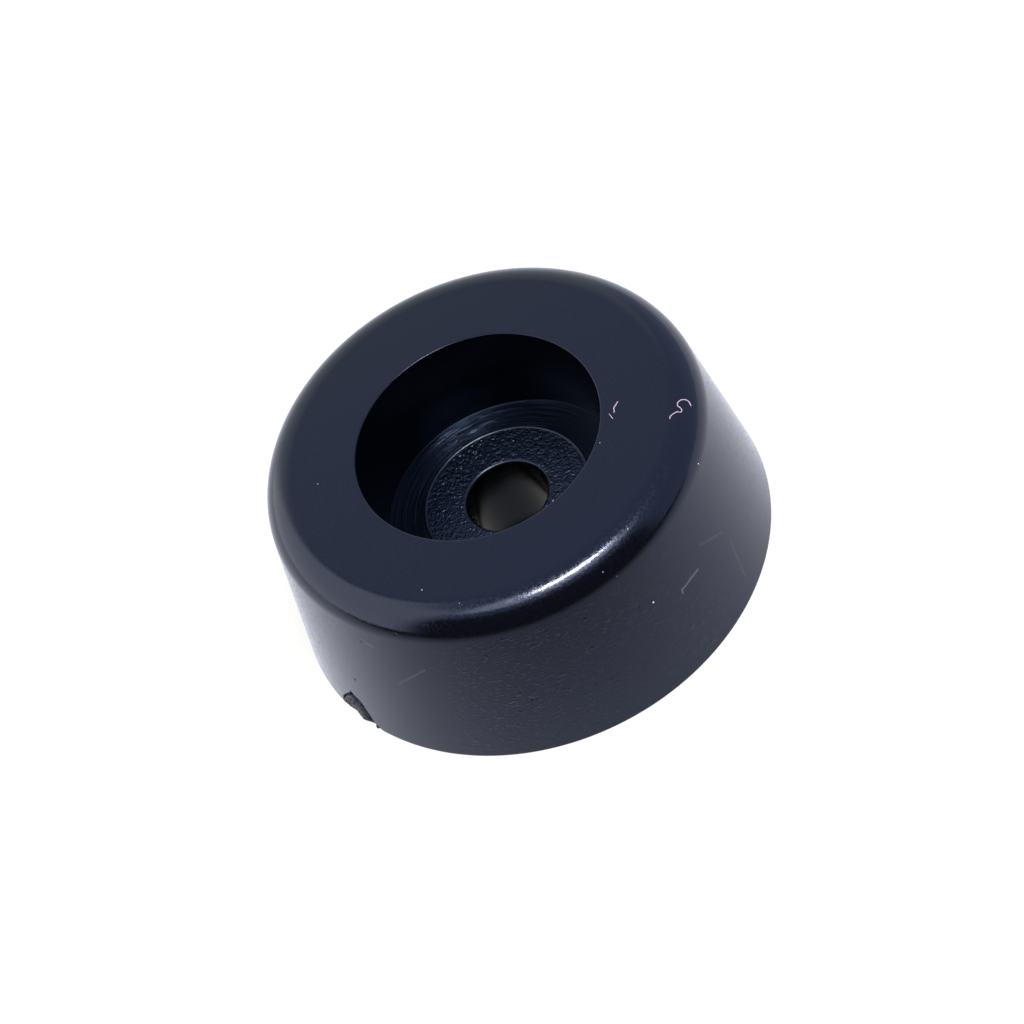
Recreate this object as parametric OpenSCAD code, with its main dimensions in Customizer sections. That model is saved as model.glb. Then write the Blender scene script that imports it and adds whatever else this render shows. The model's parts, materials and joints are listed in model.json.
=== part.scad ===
// Screw-on foot for a small cabinet or instrument case.
// One plastic moulding: a tapered disc with a rounded end, a counterbore that
// hides the screw head, a raised seat that the head bears on, and a straight
// screw hole. The wide face goes against the case. The origin is the centre of
// the wide face, and +Z runs along the screw hole to the rounded end.

/* [Body] */
// Diameter of the wide face, which goes against the case
base_d = 30; // [28:0.5:40]
// Diameter that the tapered side would reach at the narrow end, before rounding
top_d = 27.2; // [20.4:0.1:27.2]
// Height between the two flat faces
height = 12; // [10:0.5:16]
// Radius of the rounded corner round the narrow end
corner_r = 2; // [0.5:0.1:2.4]

/* [Screw seat] */
// Diameter of the screw hole
hole_d = 5.1; // [3:0.1:6]
// Diameter of the counterbore that takes the screw head
bore_d = 15.3; // [11.5:0.1:15.3]
// Depth from the narrow end's face to the seat
seat_depth = 6.1; // [3:0.1:7]
// Diameter of the raised seat
seat_d = 10.5; // [7:0.1:10.5]
// Height of the seat above the floor of the counterbore
seat_rise = 0.5; // [0.2:0.1:1]

/* [Gate scar] */
// Width of the torn patch where the moulding gate broke away from the rim
scar_w = 3.9; // [1:0.1:5]
// Height of the torn patch above the wide face
scar_h = 2.4; // [1:0.1:4]
// Depth of the torn patch at the rim
scar_rim_depth = 0.15; // [0.1:0.05:0.6]
// Depth of the torn patch at its upper edge
scar_top_depth = 0.4; // [0.1:0.05:0.8]
// Direction of the torn patch round the axis, counted from +X
scar_turn = 202; // [0:1:359]

/* [Hidden] */

$fn = 96;
base_r = base_d / 2;
top_r = top_d / 2;
hole_r = hole_d / 2;
bore_r = bore_d / 2;
seat_r = seat_d / 2;
seat_z = height - seat_depth;
floor_z = seat_z - seat_rise;
// Angle by which the side leans in from upright
taper = atan((base_r - top_r) / height);
// Centre of the rounded corner, which touches both the side and the end face
corner_z = height - corner_r;
corner_x = base_r - corner_z * tan(taper) - corner_r / cos(taper);
// Point where the side runs into the rounded corner
tangent_x = corner_x + corner_r * cos(taper);
tangent_z = corner_z + corner_r * sin(taper);
// Small overrun, so that no cut ends exactly on a face
over = 1;
// Angle by which the floor of the tear leans in further than the side
scar_lean = atan((scar_top_depth - scar_rim_depth) / scar_h);
// Slanted pocket that runs up to the tear's peak, as seen square to the side
pocket_l = 0.26 * scar_w;
pocket_w = 0.10 * scar_w;
pocket_slant = 55;
pocket_depth = scar_top_depth + 0.3;

// Half section of the outside: the straight side, then an exact round corner
module outer_section() {
    polygon([
        [0, 0],
        [base_r, 0],
        [tangent_x, tangent_z],
        [corner_x, corner_z],
        [corner_x, height],
        [0, height]
    ]);
    translate([corner_x, corner_z]) circle(r = corner_r);
}

// Counterbore, with the seat left standing in the middle of its floor
module screw_recess() {
    difference() {
        translate([0, 0, floor_z]) cylinder(r = bore_r, h = height - floor_z + over);
        translate([0, 0, floor_z - over]) cylinder(r = seat_r, h = seat_rise + over);
    }
}

module screw_hole() {
    translate([0, 0, -over]) cylinder(r = hole_r, h = height + 2 * over);
}

// Outline of the tear as seen square to the side, as fractions of its width and
// height: it runs up to a ragged peak where the gate pulled the most plastic out
module scar_outline() {
    polygon([for (corner = [
        [-0.50, -0.40],
        [0.50, -0.40],
        [0.50, 0.02],
        [0.33, 0.15],
        [0.27, 0.38],
        [0.21, 0.61],
        [0.14, 0.82],
        [0.04, 0.90],
        [-0.07, 1.00],
        [-0.16, 0.81],
        [-0.25, 0.67],
        [-0.40, 0.42],
        [-0.49, 0.17]
    ]) [corner[0] * scar_w, corner[1] * scar_h]]);
}

// Torn patch sunk into the side near the rim, with a deeper pocket at one edge
module gate_scar() {
    rotate([0, 0, scar_turn]) translate([base_r, 0, 0]) {
        translate([-scar_rim_depth, 0, 0]) rotate([0, -taper - scar_lean, 0])
            rotate([90, 0, 90]) linear_extrude(height = over) scar_outline();
        rotate([0, -taper, 0]) translate([0, -0.13 * scar_w, 0.78 * scar_h])
            rotate([pocket_slant, 0, 0])
                cube([2 * pocket_depth, pocket_l, pocket_w], center = true);
    }
}

module foot() {
    color([0.13, 0.14, 0.18])
    difference() {
        rotate_extrude() outer_section();
        screw_recess();
        screw_hole();
        gate_scar();
    }
}

foot();
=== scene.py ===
# %% [markdown]
# A screw-on foot for a small case or cabinet. It is one injection moulding in a hard, almost black
# plastic: a tapered disc with a rounded end, and a counterbore that swallows the screw head.
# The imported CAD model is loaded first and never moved, so that everything made below can be placed
# in its coordinates: metres, Z up, the middle of the wide face at the origin.

# %% Load the frame
import json
import math
import random

import bmesh
import bpy
from mathutils import Matrix, Vector, kdtree, noise

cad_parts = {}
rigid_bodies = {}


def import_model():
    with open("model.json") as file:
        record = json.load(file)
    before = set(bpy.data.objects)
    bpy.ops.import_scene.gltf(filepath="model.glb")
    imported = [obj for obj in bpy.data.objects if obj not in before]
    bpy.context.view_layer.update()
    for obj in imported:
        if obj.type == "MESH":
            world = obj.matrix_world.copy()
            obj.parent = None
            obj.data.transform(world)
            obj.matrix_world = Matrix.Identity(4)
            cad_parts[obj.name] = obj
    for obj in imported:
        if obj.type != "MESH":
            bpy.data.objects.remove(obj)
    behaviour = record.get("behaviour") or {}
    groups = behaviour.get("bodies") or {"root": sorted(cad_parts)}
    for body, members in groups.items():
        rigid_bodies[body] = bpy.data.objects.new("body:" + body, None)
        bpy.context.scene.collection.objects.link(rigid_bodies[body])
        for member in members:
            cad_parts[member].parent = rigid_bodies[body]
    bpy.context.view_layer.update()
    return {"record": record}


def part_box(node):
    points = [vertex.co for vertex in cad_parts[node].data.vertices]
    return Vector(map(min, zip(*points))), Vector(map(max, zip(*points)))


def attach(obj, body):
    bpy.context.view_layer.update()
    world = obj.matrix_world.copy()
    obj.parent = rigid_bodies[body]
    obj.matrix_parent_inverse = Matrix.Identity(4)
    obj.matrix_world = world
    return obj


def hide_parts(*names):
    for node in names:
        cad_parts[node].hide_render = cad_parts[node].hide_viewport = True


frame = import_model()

MM = 0.001
scene = bpy.context.scene
scene.view_settings.view_transform = "Standard"

# %% [markdown]
# The camera comes first, because every later choice is judged through it. A small object is shot
# from about a foot away with a long lens, which keeps the rims close to true ellipses.
# It looks down at about 49 degrees, and it is rolled, so that the foot seems to tip to one side.

# %% Camera
camera_distance = 300 * MM
camera_rise = math.radians(49.133)
camera_roll = math.radians(-26.825)
camera_aim = Vector((-0.185, 2.14, 1.85)) * MM
sensor_in_mm = 36
lens_in_mm = 171.54

camera_data = bpy.data.cameras.new("Camera")
camera_data.sensor_width = sensor_in_mm
camera_data.lens = lens_in_mm
camera = bpy.data.objects.new("Camera", camera_data)
scene.collection.objects.link(camera)
scene.camera = camera

camera_back = Vector((0, -math.cos(camera_rise), math.sin(camera_rise)))
camera_place = Matrix.Translation(camera_aim + camera_distance * camera_back)
camera_tilt = Matrix.Rotation(math.pi / 2 - camera_rise, 4, "X")
camera.matrix_world = camera_place @ camera_tilt @ Matrix.Rotation(camera_roll, 4, "Z")
print("Camera at", [round(value, 4) for value in camera.matrix_world.translation])

# %% [markdown]
# Every material below is a small node tree. One helper turns the hex colour that a maker would quote
# into the linear numbers that shaders work in. One adds a node with its properties and its inputs,
# where an input is either a value or another node's output. One starts a material with an empty
# tree. The last measures places from the axis, for the patterns that lathes and round moulds leave.

# %% Node helpers
def linear(hex_colour):
    """The linear red, green, blue and alpha of an sRGB hex colour."""
    channels = [int(hex_colour[start:start + 2], 16) / 255 for start in (1, 3, 5)]
    curve = [c / 12.92 if c <= 0.04045 else ((c + 0.055) / 1.055) ** 2.4 for c in channels]
    return (*curve, 1.0)


def add_node(tree, kind, inputs=None, **settings):
    """Adds one shader node. Inputs are values, or output sockets to link from."""
    node = tree.nodes.new("ShaderNode" + kind)
    for name, value in settings.items():
        setattr(node, name, value)
    for socket, value in (inputs or {}).items():
        if isinstance(value, bpy.types.NodeSocket):
            tree.links.new(value, node.inputs[socket])
        else:
            node.inputs[socket].default_value = value
    return node


def empty_material(name):
    """A material with a bare node tree."""
    material = bpy.data.materials.new(name)
    material.use_nodes = True
    material.node_tree.nodes.clear()
    return material


def round_the_axis(tree, place, arm):
    """A place's distance from the axis, its turn round the axis times arm, and its x, y and z."""
    axes = add_node(tree, "SeparateXYZ", {0: place}).outputs
    level = add_node(tree, "CombineXYZ", {"X": axes["X"], "Y": axes["Y"]})
    radius = add_node(tree, "VectorMath", {0: level.outputs[0]}, operation="LENGTH")
    turn = add_node(tree, "Math", {0: axes["Y"], 1: axes["X"]}, operation="ARCTAN2")
    along = add_node(tree, "Math", {0: turn.outputs[0], 1: arm}, operation="MULTIPLY")
    return radius.outputs["Value"], along.outputs[0], axes


# %% [markdown]
# Every shape is made in a bmesh, which holds its points and faces while operators work on them. The
# last step is the same for all of them: the shape becomes the mesh of an object at the origin.

# %% Object helper
def make_object(name, shape):
    """An object with the shape of a bmesh, which is freed. Its mesh has the same name, in words."""
    data = bpy.data.meshes.new(name.replace("_", " ").capitalize())
    shape.to_mesh(data)
    shape.free()
    made = bpy.data.objects.new(name, data)
    scene.collection.objects.link(made)
    return made


# %% [markdown]
# The foot stands on a sheet of white paper under a plain white surround. White paper reaches pure
# white in the picture only because camera rays see some glow in it: the light on the object stays
# at a plain level. What the foot mirrors of the paper is set apart from that, as a painted glow. It is
# bright behind the foot and fades to almost nothing in front of it, a painted shade as if the light on
# that side were screened off. Inside the screw hole the foot mirrors plain paper, which is lit only by
# what falls down the hole. A grey ring of painted shade is laid on it near the wall of the hole: light
# alone leaves it too pale there.

# %% Paper
paper_size = 4.0
paper_white = linear("#f2f2f2")
painted_shade_grey = linear("#5a5a5c")
paper_glow = 0.8

# What the foot mirrors of the paper is a painted glow: bright behind, fading to painted shade in front.
front_azimuth = math.radians(260)
front = Vector((math.cos(front_azimuth), math.sin(front_azimuth), 0))
bright_until = 2 * MM
dark_from = 50 * MM
brightest = 1.16
darkest = 0.05
mirrored_cast = (0.96, 0.98, 1.1, 1)

# In the screw hole the paper has a lit middle and a ring of painted shade round it.
under_foot = 10 * MM
lit_middle = Vector((0, 0.45 * MM, 0))
lit_until = 1.4 * MM
dim_from = 2.3 * MM

paper = empty_material("White paper")
tree = paper.node_tree
ray = add_node(tree, "LightPath")
place = add_node(tree, "TexCoord").outputs["Object"]
forward = add_node(tree, "VectorMath", {0: place, 1: front}, operation="DOT_PRODUCT")
mirrored = add_node(tree, "MapRange", {
    "Value": forward.outputs["Value"], "From Min": bright_until, "From Max": dark_from,
    "To Min": brightest, "To Max": darkest,
}, interpolation_type="SMOOTHSTEP")
reach = add_node(tree, "VectorMath", {0: place}, operation="LENGTH")
outside = add_node(tree, "Math", {
    0: reach.outputs["Value"], 1: under_foot,
}, operation="GREATER_THAN")
reflected = add_node(tree, "Math", {
    0: ray.outputs["Is Glossy Ray"], 1: outside.outputs[0],
}, operation="MULTIPLY")
seen = add_node(tree, "Math", {
    0: ray.outputs["Is Camera Ray"], 1: ray.outputs["Is Transmission Ray"],
}, operation="MAXIMUM")
seen_share = add_node(tree, "Math", {0: seen.outputs[0], 1: paper_glow}, operation="MULTIPLY")
glow_share = add_node(tree, "Math", {
    0: seen_share.outputs[0], 1: reflected.outputs[0],
}, operation="MAXIMUM")
strength = add_node(tree, "Mix", {0: reflected.outputs[0], 2: 1.0, 3: mirrored.outputs[0]})
off_middle = add_node(tree, "VectorMath", {0: place, 1: lit_middle}, operation="DISTANCE")
open_paper = add_node(tree, "MapRange", {
    "Value": off_middle.outputs["Value"], "From Min": lit_until, "From Max": dim_from,
    "To Min": 1.0, "To Max": 0.0,
}, interpolation_type="SMOOTHSTEP")
open_paper = add_node(tree, "Math", {
    0: open_paper.outputs[0], 1: outside.outputs[0],
}, operation="MAXIMUM")
sheet = add_node(tree, "Mix", {
    "Factor": open_paper.outputs[0], "A": painted_shade_grey, "B": paper_white,
}, data_type="RGBA")
lit = add_node(tree, "BsdfDiffuse", {"Color": sheet.outputs["Result"]})
cast = add_node(tree, "Mix", {
    "Factor": reflected.outputs[0], "A": (1, 1, 1, 1), "B": mirrored_cast,
}, data_type="RGBA")
glow = add_node(tree, "Emission", {
    "Color": cast.outputs["Result"], "Strength": strength.outputs[0],
})
blend = add_node(tree, "MixShader", {
    0: glow_share.outputs[0], 1: lit.outputs[0], 2: glow.outputs[0],
})
add_node(tree, "OutputMaterial", {"Surface": blend.outputs[0]})

floor_shape = bmesh.new()
bmesh.ops.create_grid(floor_shape, x_segments=1, y_segments=1, size=paper_size / 2)
floor = make_object("Paper", floor_shape)
floor.data.materials.append(paper)
print("Paper:", paper_size, "m across")

# %% [markdown]
# The surround is white to the eye. It lights at 0.6 of that, which together with the lamp makes a
# plain level of light, and the plastic mirrors it slightly blue, as it would a clear sky.

# %% Surround
sky_mirrored = linear("#c7d4f6")
sky_light = 0.6

world = bpy.data.worlds.new("White surround")
world.use_nodes = True
world.node_tree.nodes.clear()
tree = world.node_tree
ray = add_node(tree, "LightPath")
tone = add_node(tree, "Mix", {
    "Factor": ray.outputs["Is Glossy Ray"], "A": (1, 1, 1, 1), "B": sky_mirrored,
}, data_type="RGBA")
level = add_node(tree, "Mix", {
    "Factor": ray.outputs["Is Diffuse Ray"], "A": 1.0, "B": sky_light,
})
sky = add_node(tree, "Background", {
    "Color": tone.outputs["Result"], "Strength": level.outputs["Result"],
})
add_node(tree, "OutputWorld", {"Surface": sky.outputs[0]})
scene.world = world
print("Surround lights at", sky_light)

# %% [markdown]
# A glossy, nearly black moulding has almost no colour of its own: it is drawn by what it mirrors.
# So it is lit like a bottle. An oval lamp high in front draws the bright streak along the rounded
# corner. Its power is worked out from how bright it looks, which is what a reflection shows.

# %% Lamp
lamp_azimuth = math.radians(288)
lamp_rise = math.radians(74)
lamp_distance = 0.5
lamp_width = 0.20
lamp_depth = 0.06
lamp_radiance = 95.0
lamp_colour = linear("#fff8e8")
lamp_area = math.pi * lamp_width * lamp_depth / 4

lamp_data = bpy.data.lights.new("Oval lamp", "AREA")
lamp_data.shape = "ELLIPSE"
lamp_data.size = lamp_width
lamp_data.size_y = lamp_depth
lamp_data.color = lamp_colour[:3]
lamp_data.energy = lamp_radiance * math.pi * lamp_area
lamp = bpy.data.objects.new("Oval lamp", lamp_data)
scene.collection.objects.link(lamp)
towards = Vector((
    math.cos(lamp_azimuth) * math.cos(lamp_rise),
    math.sin(lamp_azimuth) * math.cos(lamp_rise),
    math.sin(lamp_rise),
))
aimed = towards.to_track_quat("Z", "Y").to_matrix().to_4x4()
lamp.matrix_world = Matrix.Translation(towards * lamp_distance) @ aimed
print("Oval lamp:", round(lamp_data.energy, 2), "W")

# %% [markdown]
# Four curved cards stand round the foot, and only its reflections see them: a bright one on the left,
# a white one behind, a dark one in front, which gives the corner its dark band, and a bright one
# overhead. Each is a piece of one sphere, spun from a point, and it fades out at its edges.

# %% Cards

card_distance = 0.7
card_steps = 12

def curved_card(name, azimuths, rises, soft, colour, strength):
    """Part of a sphere round the foot, faded over soft degrees at its edges. Only reflections see it."""
    middle = math.radians(sum(azimuths) / 2)
    half_turn = (azimuths[1] - azimuths[0]) / 2 / 360
    low, high = (math.radians(rise) for rise in rises)
    fade = math.radians(soft)

    paint = empty_material(name)
    tree = paint.node_tree
    place = add_node(tree, "TexCoord")
    turned = add_node(tree, "VectorRotate", {
        "Vector": place.outputs["Object"], "Angle": -middle,
    }, rotation_type="Z_AXIS")
    around = add_node(tree, "TexGradient", {"Vector": turned.outputs[0]}, gradient_type="RADIAL")
    off_middle = add_node(tree, "Math", {0: around.outputs["Fac"], 1: 0.5}, operation="SUBTRACT")
    off_middle = add_node(tree, "Math", {0: off_middle.outputs[0]}, operation="ABSOLUTE")
    sides = add_node(tree, "MapRange", {
        "Value": off_middle.outputs[0], "From Min": half_turn, "From Max": half_turn - soft / 360,
    }, interpolation_type="SMOOTHSTEP")
    up = add_node(tree, "SeparateXYZ", {0: place.outputs["Object"]})
    top = add_node(tree, "MapRange", {
        "Value": up.outputs["Z"],
        "From Min": card_distance * math.sin(high), "From Max": card_distance * math.sin(high - fade),
    }, interpolation_type="SMOOTHSTEP")
    kept = add_node(tree, "Math", {0: sides.outputs[0], 1: top.outputs[0]}, operation="MULTIPLY")
    clear = add_node(tree, "BsdfTransparent")
    shine = add_node(tree, "Emission", {"Color": linear(colour), "Strength": strength})
    blend = add_node(tree, "MixShader", {0: kept.outputs[0], 1: clear.outputs[0], 2: shine.outputs[0]})
    add_node(tree, "OutputMaterial", {"Surface": blend.outputs[0]})

    mesh = bmesh.new()
    start = mesh.verts.new((card_distance, 0, 0))
    bmesh.ops.rotate(mesh, matrix=Matrix.Rotation(-low, 3, "Y"), verts=[start])
    bmesh.ops.spin(
        mesh, geom=[start], cent=(0, 0, 0), axis=(0, -1, 0), dvec=(0, 0, 0),
        angle=high - low, steps=card_steps, use_merge=False
    )
    bmesh.ops.rotate(mesh, matrix=Matrix.Rotation(math.radians(azimuths[0]), 3, "Z"), verts=mesh.verts)
    bmesh.ops.spin(
        mesh, geom=mesh.verts[:] + mesh.edges[:], cent=(0, 0, 0), axis=(0, 0, 1), dvec=(0, 0, 0),
        angle=math.radians(azimuths[1] - azimuths[0]), steps=card_steps, use_merge=False
    )
    card = make_object(name, mesh)
    card.data.materials.append(paint)
    card.visible_camera = False
    card.visible_diffuse = False
    card.visible_transmission = False
    card.visible_shadow = False
    print(name, "with", len(card.data.polygons), "faces")


curved_card("Left card", (112, 209), (0, 76), 14, "#ffffff", 2.05)
curved_card("Back card", (60, 122), (0, 51), 10, "#f4faff", 1.05)
curved_card("Front card", (200, 328), (-5, 54), 14, "#3b395a", 0.85)
curved_card("Top card", (200, 340), (58, 89), 14, "#ffffff", 4.0)

# %% [markdown]
# The moulding is a body of revolution, so it starts as half a section on a wire. Its main sizes come
# from the frame: the box of the CAD node, and the screw hole and seat in the record.

# %% Sizes of the moulding
foot_low, foot_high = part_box("foot")
mounts = {mount["name"]: mount for mount in frame["record"]["mounts"]}
base_radius = foot_high.x
height = foot_high.z
hole_radius = mounts["screw_hole"]["dims"]["r_mm"] * MM
seat_height = mounts["screw_seat"]["pos_m"][2]
top_radius = 13.6 * MM
bore_radius = 7.65 * MM
seat_radius = 5.25 * MM
bore_floor = seat_height - 0.5 * MM
taper = math.atan((base_radius - top_radius) / height)
print("Base radius", round(base_radius / MM, 3), "mm, height", round(height / MM, 3), "mm")

# %% [markdown]
# A real mould has no perfectly sharp edge, so each corner of the section is rounded with a bevel on
# its vertex: 2 mm at the end that shows, 0.2 mm where the screw hole opens, and a few hundredths
# elsewhere, just enough for the edge to catch a thin line of light. A low lip runs round the seat,
# where the plastic filled the worn corner of the pin. It is real geometry, as it draws a bright ring.

# %% The section on a wire
corner_rounding = 2.0 * MM
edge_rounding = 0.07 * MM
inner_rounding = 0.03 * MM
seat_rounding = 0.04 * MM
rim_rounding = 0.20 * MM
lip_height = 0.04 * MM
lip_top = 0.08 * MM
lip_foot = 0.15 * MM
outline = [
    (hole_radius, 0.0, edge_rounding, 3),
    (base_radius, 0.0, edge_rounding, 3),
    (top_radius, height, corner_rounding, 20),
    (bore_radius, height, edge_rounding, 3),
    (bore_radius, bore_floor, inner_rounding, 2),
    (seat_radius, bore_floor, inner_rounding, 2),
    (seat_radius, seat_height + lip_height, seat_rounding, 3),
    (seat_radius - lip_top, seat_height + lip_height, seat_rounding, 2),
    (seat_radius - lip_foot, seat_height, seat_rounding, 2),
    (hole_radius, seat_height, rim_rounding, 5),
]
body = bmesh.new()
wire = [body.verts.new((radius, 0, z)) for radius, z, rounding, steps in outline]
for start, end in zip(wire, wire[1:] + wire[:1]):
    body.edges.new((start, end))

places = [vertex.co.copy() for vertex in wire]
for index, (radius, z, rounding, steps) in enumerate(outline):
    arriving = places[index] - places[index - 1]
    leaving = places[(index + 1) % len(places)] - places[index]
    setback = rounding * math.tan(arriving.angle(leaving) / 2)
    bmesh.ops.bevel(
        body, geom=[wire[index]], offset=setback, offset_type="OFFSET", segments=steps,
        profile=0.5, affect="VERTICES", material=-1
    )
print("Rounded section:", len(body.verts), "points")

# %% [markdown]
# Spun straight away, this section would give long thin faces. Smooth shading spreads an edge's turn
# over the whole face next to it, so each straight run first gets a point close to both its ends,
# which holds the flat faces flat. Then every run is divided as finely as its surface needs: the seat
# is the finest, because its spark-eroded grain is real relief in the mesh.

# %% Divide the section
UNDERSIDE, SIDE, END_FACE, WALL, BORE_FLOOR, SEAT, HOLE, RIM = range(8)
spacing = {
    UNDERSIDE: 2.6 * MM, SIDE: 0.33 * MM, END_FACE: 0.8 * MM, WALL: 1.0 * MM,
    BORE_FLOOR: 0.8 * MM, SEAT: 0.1 * MM, HOLE: 0.8 * MM, RIM: 0.1 * MM,
}
slack = 0.03 * MM


def surface_at(point):
    """Which surface of the moulding a point lies on."""
    radius = math.hypot(point.x, point.y)
    if point.z < slack:
        return UNDERSIDE
    if radius > bore_radius + slack:
        return END_FACE if point.z > height - slack else SIDE
    near_hole = radius < hole_radius + rim_rounding
    near_lip = seat_radius - lip_foot < radius < seat_radius + slack
    if (near_hole or near_lip) and abs(point.z - seat_height) < rim_rounding:
        return RIM
    if radius < hole_radius + slack:
        return HOLE
    if point.z > seat_height + slack or radius > bore_radius - slack:
        return WALL
    return SEAT if radius < seat_radius + slack and point.z > seat_height - slack else BORE_FLOOR


edge_hold = 0.06 * MM
short_run = 4 * edge_hold
for run in [edge for edge in body.edges if edge.calc_length() > short_run]:
    for end in list(run.verts):
        bmesh.utils.edge_split(run, end, edge_hold / run.calc_length())
for run in [edge for edge in body.edges if edge.calc_length() > short_run]:
    middle = (run.verts[0].co + run.verts[1].co) / 2
    cuts = math.ceil(run.calc_length() / spacing[surface_at(middle)]) - 1
    if cuts > 0:
        bmesh.ops.subdivide_edges(body, edges=[run], cuts=cuts)
print("Divided section:", len(body.verts), "points")

# %% [markdown]
# One spin through 480 steps would be slow, because each step looks at the whole mesh again. So the
# section is spun through a narrow wedge, copies of the wedge are turned into place round the axis,
# and the points where they meet are merged.

# %% Spin the section
wedges = 60
steps_in_wedge = 8
wedge_angle = 2 * math.pi / wedges
bmesh.ops.spin(
    body, geom=body.verts[:] + body.edges[:], cent=(0, 0, 0), axis=(0, 0, 1), dvec=(0, 0, 0),
    angle=wedge_angle, steps=steps_in_wedge, use_merge=False
)
wedge = body.verts[:] + body.edges[:] + body.faces[:]
for count in range(1, wedges):
    copied = bmesh.ops.duplicate(body, geom=wedge)["geom"]
    points = [item for item in copied if isinstance(item, bmesh.types.BMVert)]
    bmesh.ops.rotate(body, matrix=Matrix.Rotation(count * wedge_angle, 3, "Z"), verts=points)
joint_gap = 0.001 * MM
bmesh.ops.remove_doubles(body, verts=body.verts, dist=joint_gap)
bmesh.ops.recalc_face_normals(body, faces=body.faces)
for face in body.faces:
    face.smooth = True
    face.material_index = surface_at(face.calc_center_median())
print("Spun body:", len(body.faces), "faces,", round(body.calc_volume(signed=True) / MM**3, 1), "mm3")

# %% [markdown]
# The raised seat was left as the spark-eroding machine made it: shallow craters, a sixth of a
# millimetre across, run into each other. Fractal noise moves the points of the seat up and down by a
# few hundredths. The two rims stay round and smooth.

# %% Eroded seat
random.seed(7)
noise.seed_set(7)
crater = 0.17 * MM
crater_depth = 0.040 * MM
# How fast the finer craters get shallower, how much finer each is, and how many there are.
crater_noise = (0.8, 2.0, 2)
grained_radius = seat_radius - lip_foot - slack
moved = 0
for vertex in body.verts:
    radius = math.hypot(vertex.co.x, vertex.co.y)
    if surface_at(vertex.co) == SEAT and radius < grained_radius:
        vertex.co.z += crater_depth * noise.fractal(vertex.co / crater, *crater_noise)
        moved += 1
print("Eroded seat:", moved, "points moved")

# %% [markdown]
# Where the plastic was forced into the mould, the runner was broken off by hand and tore a piece out
# of the rim. Places on the side are given as a worker would measure them, round from +X in degrees
# and up from the wide face in millimetres. The faces near a fault are divided more finely first.

# %% Places on the side
def spot(azimuth, up):
    """A point on the tapered side."""
    turn = math.radians(azimuth)
    radius = base_radius - up * MM * math.tan(taper)
    return Vector((radius * math.cos(turn), radius * math.sin(turn), up * MM))


def outwards(point):
    """The direction straight out of the tapered side at a point."""
    turn = math.atan2(point.y, point.x)
    return Vector((math.cos(turn) * math.cos(taper), math.sin(turn) * math.cos(taper), math.sin(taper)))


def smooth_step(value, start, end):
    """Runs smoothly from 0 at start to 1 at end."""
    share = min(1.0, max(0.0, (value - start) / (end - start)))
    return share * share * (3 - 2 * share)


def level_between(value, steps):
    """The height at a place along a line of (place, height) pairs."""
    for (left, low), (right, high) in zip(steps, steps[1:]):
        if left <= value <= right:
            return low + (high - low) * (value - left) / (right - left)
    return 0.0


def line_distance(point, line):
    """How far a point is from a line of points, in two or three dimensions."""
    best = math.inf
    for start, end in zip(line, line[1:]):
        along = end - start
        share = min(1.0, max(0.0, (point - start).dot(along) / along.length_squared))
        best = min(best, (point - start - along * share).length)
    return best


def point_tree():
    """A search tree of all the points of the body."""
    tree = kdtree.KDTree(len(body.verts))
    body.verts.ensure_lookup_table()
    for index, vertex in enumerate(body.verts):
        tree.insert(vertex.co, index)
    tree.balance()
    return tree


def divide_near(points, reach, cuts):
    """Divides the faces of the side and the end that come near any of the points."""
    tree = point_tree()
    faces = {
        face
        for point in points
        for place, index, distance in tree.find_range(point, reach)
        for face in body.verts[index].link_faces
    }
    edges = {edge for face in faces for edge in face.edges}
    bmesh.ops.subdivide_edges(body, edges=list(edges), cuts=cuts, use_grid_fill=True)
    print("Divided", len(faces), "faces, now", len(body.faces))


# %% [markdown]
# The tear is drawn flat first, as places (across, up) from the middle of its foot, all in
# millimetres: the line of its edge, how deep it is along the rim, and the cracks in it. The ragged
# floor comes out to the rim, a deep pocket lies under the peak, and a thin lip stands beside it.
# Under its upper edge the plastic sheared clean and smoother, and the dark band there is painted
# shade, as is the dark in each crack. Lower down it stretched and turned pale. A number called shade
# says which, from 0 for pale to 1 for painted shade.

# %% Torn gate
tear_azimuth = 202
tear_half_width = 1.95
tear_edge = [
    (-1.95, 0.0), (-1.89, 0.41), (-1.54, 1.00), (-0.97, 1.61), (-0.60, 1.95), (-0.28, 2.40),
    (-0.05, 2.20), (0.18, 2.15), (0.54, 1.95), (0.81, 1.46), (1.07, 0.92), (1.30, 0.36),
    (1.74, 0.10), (1.95, 0.0),
]
rim_depth = [
    (-1.95, 0.0), (-1.30, 0.05), (-0.60, 0.12), (-0.30, 0.03), (0.15, -0.06), (0.50, 0.03),
    (0.80, 0.12), (1.20, 0.17), (1.36, -0.06), (1.46, -0.03), (1.58, 0.13), (1.95, 0.0),
]
edge_line = [Vector(place) for place in tear_edge]
pocket_line = [Vector((-0.81, 1.57)), Vector((-0.30, 2.28))]
slit_line = [Vector((-1.85, 0.40)), Vector((-1.50, 0.97)), Vector((-0.97, 1.55))]
lip_line = [Vector((-1.62, 0.45)), Vector((-1.33, 0.92)), Vector((-1.10, 1.10))]
pinhole = [Vector((0.41, 1.38)), Vector((0.44, 1.42))]
# Each crack: its line, its depth, how far from the line it is deepest and where it ends, and how far
# from the line its painted shade is darkest and where that shade ends.
cracks = [
    (pocket_line, 0.35, (0.05, 0.20), (0.14, 0.30)),
    (slit_line, 0.22, (0.03, 0.09), (0.05, 0.12)),
    (pinhole, 0.30, (0.06, 0.14), (0.10, 0.20)),
]
tear_lip = 0.18
tear_lip_width = (0.03, 0.15)
# The wall under the edge, and the floor, which takes over from the depth at the rim as it rises.
wall_width = 0.07
floor_depth = 0.11
floor_from = 1.1
most_proud = 0.06
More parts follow.
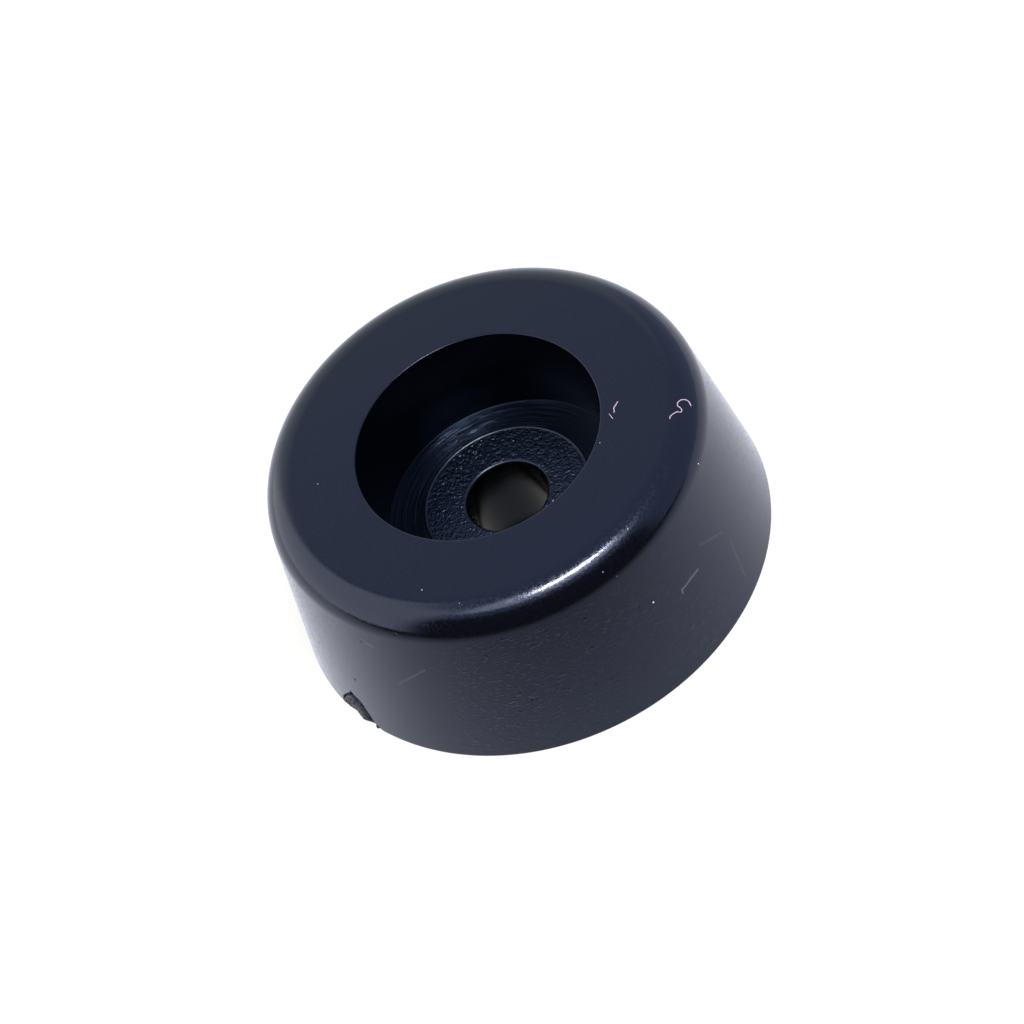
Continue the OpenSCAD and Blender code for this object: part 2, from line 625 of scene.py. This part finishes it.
# How far the grain moves the edge, the floor and the dark band. The floor's grain fades at the rim.
edge_wander = 0.04
floor_wander = 0.12
shade_wander = 0.14
smooth_rim = 0.2
# The band of painted shade ends this far in from the edge, and it starts this far across.
band_end = (0.66, 1.10)
band_start = (-0.95, -0.45)


def tear_place(point):
    """A point as (across, up) in millimetres, seen square to the side at the tear."""
    turn = math.atan2(point.y, point.x) % (2 * math.pi) - math.radians(tear_azimuth)
    return Vector((turn * math.hypot(point.x, point.y), point.z)) / MM


def near_line(place, line, width):
    """1 near a line, and 0 away from it. width is how far 1 reaches and where 0 starts."""
    return 1 - smooth_step(line_distance(place, line), *width)


def tear_depth(place, grain):
    """How deep the tear is at a place, in millimetres, and how far it is inside the edge."""
    edge = line_distance(place, edge_line)
    if place.y > level_between(place.x, tear_edge) or abs(place.x) > tear_half_width:
        edge = -edge
    edge += edge_wander * grain
    wall = smooth_step(edge, 0.0, wall_width)
    if wall == 0:
        return 0.0, edge
    rise = smooth_step(place.y, 0.0, floor_from)
    depth = level_between(place.x, rim_depth) * (1 - rise) + floor_depth * rise
    depth += floor_wander * grain * smooth_step(place.y, 0.0, smooth_rim)
    for line, deep, width, dark_width in cracks:
        depth += deep * near_line(place, line, width)
    depth -= tear_lip * near_line(place, lip_line, tear_lip_width)
    return wall * max(-most_proud, depth), edge


def tear_shade(place, edge, grain):
    """The painted shade on the torn plastic: the dark band under the edge, and every crack in it."""
    band = 1 - smooth_step(edge + shade_wander * grain, *band_end)
    dark = [near_line(place, line, dark_width) for line, deep, width, dark_width in cracks]
    return max(band * smooth_step(place.x, *band_start), *dark)


# %% [markdown]
# Then the points of the side that lie in the tear are pushed straight in, and an attribute keeps the
# painted shade of each for the material. The faces that lie wholly in the tear get a surface of their
# own.

# %% Push the tear in
TORN = 8
tear_grain = 0.20 * MM
tear_noise = (0.7, 2.2, 3)
# Only points this far across and up, in mm, and this close to the rim can be in the tear.
tear_across = 2.1
tear_up = 2.6
tear_inner = base_radius - 0.5 * MM
tear_reach = 0.75 * MM
tear_cuts = 5
tear_middle = [spot(tear_azimuth + turn, up) for turn in (-6, -3, 0, 3, 6) for up in (0.3, 1.2, 2.1)]
divide_near(tear_middle, tear_reach, tear_cuts)
# The painted shade of the tear, which the torn material mixes in as near black.
shade = body.verts.layers.float.new("shade")
torn_points = set()
for vertex in body.verts:
    place = tear_place(vertex.co)
    radius = math.hypot(vertex.co.x, vertex.co.y)
    if abs(place.x) > tear_across or place.y > tear_up or radius < tear_inner:
        continue
    grain = noise.fractal(vertex.co / tear_grain, *tear_noise)
    depth, edge = tear_depth(place, grain)
    if edge > 0:
        vertex[shade] = tear_shade(place, edge, grain)
        vertex.co -= outwards(vertex.co) * depth * MM
        vertex.co.z = max(vertex.co.z, 0.0)
        torn_points.add(vertex)
for face in body.faces:
    if face.material_index == SIDE and torn_points.issuperset(face.verts):
        face.material_index = TORN
print("Tear:", len(torn_points), "points moved")

# %% [markdown]
# Small faults are what make a moulding look handled. Pits and pips are less than a tenth of a
# millimetre deep: each is a smooth dimple pushed in or out of the side. Scratches are kept as a number
# on every point, an attribute called scuff, that the material reads to turn the gloss pale and dull.

# %% Pits, pips and scratches
# Each pit or pip: azimuth, height, radius, and how far it stands out, with the lengths in mm.
pips = [
    (226.0, 10.70, 0.13, -0.05), (228.1, 10.84, 0.13, -0.05), (213.9, 9.07, 0.11, -0.05),
    (205.3, 4.30, 0.15, -0.06), (253.5, 4.53, 0.16, -0.05), (254.6, 4.50, 0.14, -0.04),
    (289.8, 6.87, 0.12, 0.06), (251.4, 5.16, 0.12, 0.05), (273.2, 8.93, 0.11, 0.04),
    (252.9, 9.87, 0.12, 0.03), (247.5, 8.75, 0.13, 0.03), (286.1, 7.44, 0.15, -0.04),
    (272.4, 3.59, 0.15, 0.03), (261.3, 4.47, 0.12, 0.03), (247.7, 2.51, 0.14, 0.03),
    (295.5, 3.11, 0.13, 0.04), (295.4, 1.70, 0.14, 0.03),
]
# The rest are strewn at random: how many, how high they may be, how wide, and how far they stand out.
stray_pips = 70
stray_up = (0.6, 9.4)
stray_radius = (0.07, 0.13)
stray_stand = (0.008, 0.022)
for count in range(stray_pips):
    stand = random.choice((-1, 1, 1)) * random.uniform(*stray_stand)
    turn = random.uniform(0, 360)
    pips.append((turn, random.uniform(*stray_up), random.uniform(*stray_radius), stand))
# Each scratch: its strength, its width in mm, and the points that it runs through.
scratches = [
    (0.8, 0.06, [spot(304.4, 5.83), spot(301, 5.84), spot(297.8, 5.81), spot(297.6, 5.57)]),
    (0.5, 0.08, [spot(215.4, 9.07), spot(217.4, 8.92)]),
    (0.2, 0.09, [spot(220.9, 5.90), spot(225.7, 6.85), spot(230.6, 7.77)]),
    (0.12, 0.11, [spot(308.4, 6.89), spot(312.4, 6.25), spot(316.4, 5.56)]),
    (0.12, 0.11, [spot(317.3, 4.47), spot(316.3, 3.0), spot(315.4, 1.58)]),
]
scratch_steps = 12
pip_places = [spot(azimuth, up) for azimuth, up, radius, stand in pips]
scratch_points = [
    start.lerp(end, share / scratch_steps)
    for strength, width, line in scratches
    for start, end in zip(line, line[1:])
    for share in range(scratch_steps + 1)
]
fault_reach = 0.22 * MM
fault_cuts = 3
divide_near(pip_places + scratch_points, fault_reach, fault_cuts)

scuff = body.verts.layers.float.new("scuff")
for vertex in body.verts:
    if surface_at(vertex.co) not in (SIDE, END_FACE):
        continue
    for strength, width, line in scratches:
        near = line_distance(vertex.co, line) / (width * MM)
        if near < 1:
            vertex[scuff] = max(vertex[scuff], strength * (1 - near * near))

tree = point_tree()
shifts = {}
for (azimuth, up, radius, stand), place in zip(pips, pip_places):
    for co, index, distance in tree.find_range(place, radius * MM):
        share = (1 - (distance / (radius * MM)) ** 2) ** 2
        shifts[index] = shifts.get(index, Vector()) + outwards(place) * share * stand * MM
for index, shift in shifts.items():
    body.verts[index].co += shift
print("Pits and pips:", len(pips), "moved", len(shifts), "points")

# %% [markdown]
# The body is one closed mesh, so it can stand for the CAD node, which stays hidden for collision.

# %% Finish the body
foot = make_object("moulded_foot", body)
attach(foot, "root")
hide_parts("foot")
foot.data.calc_loop_triangles()
print("Foot:", len(foot.data.loop_triangles), "triangles")

# %% [markdown]
# The plastic is hard black polystyrene, moulded in a polished steel cavity, with a trace of blue in
# it. It reflects about 4 percent face on, which is what an IOR near 1.5 gives, and the blue tint is
# on that reflection alone, so that grazing reflections stay white. A polished mould still leaves a
# skin with a faint ripple, and patches that are a little duller: those break up the bright streak.
# Fine nibs stand on the side, drawn out round the foot. They are at full height round the front,
# below the rounded corner, and faint elsewhere. Nibs and ripples are drawn coarse enough to show.

# %% Moulded skin
plastic_black = linear("#06070b")
plastic_ior = 1.52
plastic_tint = (0.58, 0.66, 1.0, 1.0)


def black_plastic(tree, colour, gloss, relief, tint=plastic_tint, mirror=0.5):
    """The plastic itself, ready as the surface of a material. mirror is its specular level."""
    plastic = add_node(tree, "BsdfPrincipled", {
        "Base Color": colour, "Roughness": gloss, "IOR": plastic_ior, "Specular Tint": tint,
        "Specular IOR Level": mirror, "Normal": relief,
    })
    add_node(tree, "OutputMaterial", {"Surface": plastic.outputs[0]})


# Most of a noise lies between these two of its values.
noise_low = 0.35
noise_high = 0.65
patch_width = 0.16 * MM
patch_gloss = (0.07, 0.25)
scuffed_grey = linear("#6a6c74")
scuffed_gloss = 0.55
ripple_width = 0.13 * MM
ripple_height = 0.003 * MM
nib_width = 0.12 * MM
nib_height = 0.025 * MM
nib_arm = 0.35 * base_radius
nib_noise = (0.57, 0.80)
nib_free = (9.3 * MM, 10.6 * MM)
nib_front = (-11.0 * MM, -13.6 * MM)
nibs_above = 0.1
nibs_behind = 0.15

skin = empty_material("Black polystyrene, polished mould")
tree = skin.node_tree
place = add_node(tree, "TexCoord").outputs["Object"]
worn = add_node(tree, "Attribute", attribute_name="scuff").outputs["Fac"]
dull = add_node(tree, "TexNoise", {"Vector": place, "Scale": 1 / patch_width, "Detail": 2.0})
gloss = add_node(tree, "MapRange", {
    "Value": dull.outputs["Fac"], "From Min": noise_low, "From Max": noise_high,
    "To Min": patch_gloss[0], "To Max": patch_gloss[1],
})
gloss = add_node(tree, "Mix", {"Factor": worn, "A": gloss.outputs["Result"], "B": scuffed_gloss})
colour = add_node(tree, "Mix", {
    "Factor": worn, "A": plastic_black, "B": scuffed_grey,
}, data_type="RGBA")
radius, along, axes = round_the_axis(tree, place, nib_arm)
rolled = add_node(tree, "CombineXYZ", {"X": along, "Y": axes["Z"], "Z": radius})
specks = add_node(tree, "TexNoise", {
    "Vector": rolled.outputs[0], "Scale": 1 / nib_width, "Detail": 1.0,
})
nibs = add_node(tree, "MapRange", {
    "Value": specks.outputs["Fac"], "From Min": nib_noise[0], "From Max": nib_noise[1],
}, interpolation_type="SMOOTHSTEP")
lower = add_node(tree, "MapRange", {
    "Value": axes["Z"], "From Min": nib_free[0], "From Max": nib_free[1],
    "To Min": 1.0, "To Max": nibs_above,
})
forward = add_node(tree, "MapRange", {
    "Value": axes["Y"], "From Min": nib_front[0], "From Max": nib_front[1],
    "To Min": nibs_behind, "To Max": 1.0,
})
nibs = add_node(tree, "Math", {0: nibs.outputs[0], 1: lower.outputs[0]}, operation="MULTIPLY")
nibs = add_node(tree, "Math", {0: nibs.outputs[0], 1: forward.outputs[0]}, operation="MULTIPLY")
ripple = add_node(tree, "TexNoise", {"Vector": place, "Scale": 1 / ripple_width, "Detail": 2.0})
rippled = add_node(tree, "Bump", {"Height": ripple.outputs["Fac"], "Distance": ripple_height})
bump = add_node(tree, "Bump", {
    "Height": nibs.outputs[0], "Distance": nib_height, "Normal": rippled.outputs[0],
})
black_plastic(tree, colour.outputs["Result"], gloss.outputs["Result"], bump.outputs[0])
print("Skin:", len(tree.nodes), "nodes")

# %% [markdown]
# The counterbore was formed by the end of a steel pin turned on a lathe. It kept fine rings, a tenth
# of a millimetre apart, with quite steep flanks. Rings catch a lamp only where they lie across its
# light, so they show as a fan of brightness on the far side of the floor. They are drawn at full
# depth on that side and shallower on the other, as a guess at how the pin wore.

# %% Turned floor
groove_width = 0.09 * MM
groove_height = 0.068 * MM
groove_arm = 0.08 * MM
deep_azimuth = math.radians(100)
deep_side = Vector((math.cos(deep_azimuth), math.sin(deep_azimuth), 0))
shallow_until = 2.0 * MM
deep_from = 6.2 * MM
shallow = 0.20
# Its colour and the tint of its reflection are darker than the skin's: painted shade of the counterbore.
turned_black = linear("#020306")
turned_gloss = 0.15
turned_tint = (0.31, 0.48, 0.94, 1.0)

turned = empty_material("Black polystyrene, turned pin")
tree = turned.node_tree
place = add_node(tree, "TexCoord").outputs["Object"]
radius, along, axes = round_the_axis(tree, place, groove_arm)
ring = add_node(tree, "CombineXYZ", {"X": radius, "Y": along})
grooves = add_node(tree, "TexNoise", {
    "Vector": ring.outputs[0], "Scale": 1 / groove_width, "Detail": 2.0,
})
sideways = add_node(tree, "VectorMath", {0: place, 1: deep_side}, operation="DOT_PRODUCT")
depth = add_node(tree, "MapRange", {
    "Value": sideways.outputs["Value"], "From Min": shallow_until, "From Max": deep_from,
    "To Min": shallow, "To Max": 1.0,
})
grooves = add_node(tree, "Math", {
    0: grooves.outputs["Fac"], 1: depth.outputs[0],
}, operation="MULTIPLY")
bump = add_node(tree, "Bump", {"Height": grooves.outputs[0], "Distance": groove_height})
black_plastic(tree, turned_black, turned_gloss, bump.outputs[0], turned_tint)
print("Turned floor:", groove_width / MM, "mm rings")

# %% [markdown]
# The sides of the pins were polished, so that the moulding would slide off, and mirror little but the
# dark. The pin of the counterbore was polished lengthways, so its noise is stretched along Z. The pin
# of the hole was polished as it turned, so its noise is stretched level, with a slight tilt, and its
# lines come out as fine rings. Both are set to mirror less than the plastic does elsewhere, bluer,
# and with a darker colour, which paints shade into the depths: a choice made for the look under this
# light.

# %% Polished bores
wall_line = 0.08 * MM
wall_line_height = 0.004 * MM
wall_stretch = (1, 1, 0.12)
# Darker colour, tint and mirror than the skin's: painted shade of the counterbore wall.
wall_black = linear("#010204")
wall_gloss = 0.25
wall_tint = (0.38, 0.56, 1.0, 1.0)
wall_mirror = 0.22

polished = empty_material("Black polystyrene, polished pin")
tree = polished.node_tree
place = add_node(tree, "TexCoord").outputs["Object"]
drawn = add_node(tree, "Mapping", {"Vector": place, "Scale": wall_stretch})
grain = add_node(tree, "TexNoise", {
    "Vector": drawn.outputs[0], "Scale": 1 / wall_line, "Detail": 2.0,
})
bump = add_node(tree, "Bump", {"Height": grain.outputs["Fac"], "Distance": wall_line_height})
black_plastic(tree, wall_black, wall_gloss, bump.outputs[0], wall_tint, wall_mirror)

hole_line = 0.12 * MM
hole_line_height = 0.003 * MM
hole_stretch = (0.1, 0.1, 1)
hole_tilt = (0.06, 0.04, 0)
# Darker colour, tint and mirror than the skin's: painted shade of the screw hole.
hole_black = linear("#010203")
hole_gloss = (0.10, 0.25)
hole_tint = (0.36, 0.50, 1.0, 1.0)
hole_mirror = 0.15

hole_skin = empty_material("Black polystyrene, hole pin")
tree = hole_skin.node_tree
place = add_node(tree, "TexCoord").outputs["Object"]
drawn = add_node(tree, "Mapping", {"Vector": place, "Rotation": hole_tilt, "Scale": hole_stretch})
grain = add_node(tree, "TexNoise", {
    "Vector": drawn.outputs[0], "Scale": 1 / hole_line, "Detail": 2.0,
})
bump = add_node(tree, "Bump", {"Height": grain.outputs["Fac"], "Distance": hole_line_height})
gloss = add_node(tree, "MapRange", {
    "Value": grain.outputs["Fac"], "To Min": hole_gloss[0], "To Max": hole_gloss[1],
})
black_plastic(tree, hole_black, gloss.outputs["Result"], bump.outputs[0], hole_tint, hole_mirror)
print("Bores:", polished.name, "and", hole_skin.name)

# %% [markdown]
# The eroded seat needs some grain finer than the mesh can carry, so a bump adds it, drawn out a
# little round the axis by its short arm. The rims are smoother and keep only a soft ripple.

# %% Eroded seat and its rims
seat_grain = 0.11 * MM
seat_grain_height = 0.06 * MM
seat_arm = 2.8 * MM
# The seat's colour and the tint of its reflection are darker than the skin's: painted shade of the
# counterbore.
seat_black = linear("#020306")
seat_gloss = 0.25
seat_tint = (0.36, 0.50, 0.90, 1.0)

eroded = empty_material("Black polystyrene, spark eroded")
tree = eroded.node_tree
place = add_node(tree, "TexCoord").outputs["Object"]
radius, along, axes = round_the_axis(tree, place, seat_arm)
pressed = add_node(tree, "CombineXYZ", {"X": radius, "Y": along, "Z": axes["Z"]})
grain = add_node(tree, "TexNoise", {
    "Vector": pressed.outputs[0], "Scale": 1 / seat_grain, "Detail": 1.0,
})
bump = add_node(tree, "Bump", {"Height": grain.outputs["Fac"], "Distance": seat_grain_height})
black_plastic(tree, seat_black, seat_gloss, bump.outputs[0], seat_tint)

rim_ripple = 0.3 * MM
rim_ripple_height = 0.008 * MM
rim_gloss = 0.3
# The rims take the seat's dark colour and a reflection tint darker than the skin's: painted shade too.
rim_tint = (0.46, 0.57, 0.85, 1.0)

rim_skin = empty_material("Black polystyrene, rim")
tree = rim_skin.node_tree
place = add_node(tree, "TexCoord").outputs["Object"]
ripple = add_node(tree, "TexNoise", {"Vector": place, "Scale": 1 / rim_ripple, "Detail": 1.0})
bump = add_node(tree, "Bump", {"Height": ripple.outputs["Fac"], "Distance": rim_ripple_height})
black_plastic(tree, seat_black, rim_gloss, bump.outputs[0], rim_tint)
print("Seat:", seat_grain / MM, "mm grain, rims:", rim_ripple / MM, "mm ripple")

# %% [markdown]
# The torn patch is where the plastic was stretched until it broke. Such a surface is rough and turns
# whitish, as tiny cracks scatter the light, so it gets a pale dull colour rather than a mirror.
# Where the shade attribute says so, near black is mixed in instead: painted shade under the edge and
# in the cracks.

# %% Torn patch
torn_grain = 0.14 * MM
torn_grain_height = 0.07 * MM
stretched_dark = linear("#2c2c2f")
stretched_pale = linear("#707073")
# Near black for the painted shade, with its own gloss.
painted_shade_black = linear("#050507")
stretched_gloss = 0.65
painted_shade_gloss = 0.45
torn_mirror = 0.35

torn = empty_material("Black polystyrene, torn")
tree = torn.node_tree
place = add_node(tree, "TexCoord").outputs["Object"]
painted_shade = add_node(tree, "Attribute", attribute_name="shade").outputs["Fac"]
grain = add_node(tree, "TexNoise", {"Vector": place, "Scale": 1 / torn_grain, "Detail": 3.0})
bump = add_node(tree, "Bump", {"Height": grain.outputs["Fac"], "Distance": torn_grain_height})
mottled = add_node(tree, "MapRange", {
    "Value": grain.outputs["Fac"], "From Min": noise_low, "From Max": noise_high,
})
stretched = add_node(tree, "Mix", {
    "Factor": mottled.outputs["Result"], "A": stretched_dark, "B": stretched_pale,
}, data_type="RGBA")
colour = add_node(tree, "Mix", {
    "Factor": painted_shade, "A": stretched.outputs["Result"], "B": painted_shade_black,
}, data_type="RGBA").outputs["Result"]
gloss = add_node(tree, "MapRange", {
    "Value": painted_shade, "To Min": stretched_gloss, "To Max": painted_shade_gloss,
}).outputs["Result"]
black_plastic(tree, colour, gloss, bump.outputs[0], plastic_tint, torn_mirror)

finishes = {
    UNDERSIDE: skin, SIDE: skin, END_FACE: skin, WALL: polished,
    BORE_FLOOR: turned, SEAT: eroded, HOLE: hole_skin, RIM: rim_skin, TORN: torn,
}
for surface in range(len(finishes)):
    foot.data.materials.append(finishes[surface])
print("The foot has", len(foot.data.materials), "surfaces")

# %% [markdown]
# A black moulding gathers dust, and the specks show white. Each is a small lump: an icosphere
# squashed by a random amount, sunk by half into the surface that it lies on.

# %% Dust specks
# Each speck: its place, and its radius in mm.
dust_places = [
    (spot(322.0, 10.45), 0.045), (Vector((-5.32, -11.01, 11.93)) * MM, 0.04),
    (Vector((0.98, -13.22, 11.2)) * MM, 0.035), (Vector((-9.80, 2.28, 12)) * MM, 0.03),
    (Vector((-6.94, -8.88, 12)) * MM, 0.035), (Vector((6.28, -4.93, 12)) * MM, 0.035),
    (spot(289.8, 6.87), 0.075), (spot(251.4, 5.16), 0.05),
    (Vector((5.38, -11.61, 11.75)) * MM, 0.04), (Vector((3.92, -12.06, 11.81)) * MM, 0.035),
    (Vector((2.95, -13.14, 11.13)) * MM, 0.025), (spot(285.0, 10.4), 0.02),
]
dust = bmesh.new()
for place, size in dust_places:
    squash = Matrix.Diagonal([random.uniform(0.7, 1.2) for axis in range(3)]).to_4x4()
    bmesh.ops.create_icosphere(
        dust, subdivisions=2, radius=size * MM, matrix=Matrix.Translation(place) @ squash
    )
specks = make_object("dust_specks", dust)
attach(specks, "root")

dust_white = linear("#c9c8cc")
dust_gloss = 0.9
powder = empty_material("House dust")
tree = powder.node_tree
matt = add_node(tree, "BsdfPrincipled", {"Base Color": dust_white, "Roughness": dust_gloss})
add_node(tree, "OutputMaterial", {"Surface": matt.outputs[0]})
specks.data.materials.append(powder)
print("Dust:", len(dust_places), "specks")

# %% [markdown]
# Three fibres of pink lint cling to the end face. Each starts as a ring of six points that is
# extruded along a given path and turned to face the way that the path goes.

# %% Lint
# The points that each fibre runs through, and its radius, all in mm.
lint_paths = [
    [(12.06, -5.15, 11.52), (12.08, -4.97, 11.57), (12.06, -4.83, 11.62), (11.97, -4.71, 11.71),
     (11.82, -4.65, 11.80), (11.63, -4.67, 11.87), (11.43, -4.80, 11.92), (11.34, -5.01, 11.91),
     (11.43, -5.16, 11.86), (11.47, -5.36, 11.82), (11.34, -5.52, 11.84), (11.15, -5.41, 11.92),
     (10.88, -5.46, 11.97), (10.65, -5.55, 11.99), (10.58, -5.72, 11.99)],
    [(8.36, -2.69, 12.02), (8.17, -2.83, 12.02), (7.97, -3.01, 12.02), (7.87, -3.34, 12.02)],
    [(7.56, -3.22, 12.01), (7.59, -3.47, 12.01), (7.63, -3.71, 12.01)],
]
lint_radius = [0.035, 0.035, 0.02]
lint_sides = 6
lint = bmesh.new()
for path, thickness in zip(lint_paths, lint_radius):
    route = [Vector(place) * MM for place in path]
    aimed = (route[1] - route[0]).to_track_quat("Z", "Y").to_matrix().to_4x4()
    ring = bmesh.ops.create_circle(
        lint, cap_ends=True, segments=lint_sides, radius=thickness * MM,
        matrix=Matrix.Translation(route[0]) @ aimed
    )["verts"]
    face = ring[0].link_faces[0]
    for before, after in zip(route, route[1:]):
        face = bmesh.ops.extrude_discrete_faces(lint, faces=[face])["faces"][0]
        bmesh.ops.translate(lint, vec=after - before, verts=face.verts)
        face.normal_update()
        turn = face.normal.rotation_difference(after - before).to_matrix()
        bmesh.ops.rotate(lint, cent=after, matrix=turn, verts=face.verts)
open_ends = [edge for edge in lint.edges if edge.is_boundary]
bmesh.ops.holes_fill(lint, edges=open_ends)
bmesh.ops.recalc_face_normals(lint, faces=lint.faces)
for face in lint.faces:
    face.smooth = True
fibres = make_object("lint", lint)
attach(fibres, "root")

lint_pink = linear("#b9a2bd")
lint_gloss = 0.9
cotton = empty_material("Pink lint")
tree = cotton.node_tree
matt = add_node(tree, "BsdfPrincipled", {"Base Color": lint_pink, "Roughness": lint_gloss})
add_node(tree, "OutputMaterial", {"Surface": matt.outputs[0]})
fibres.data.materials.append(cotton)
print("Lint:", len(fibres.data.polygons), "faces")
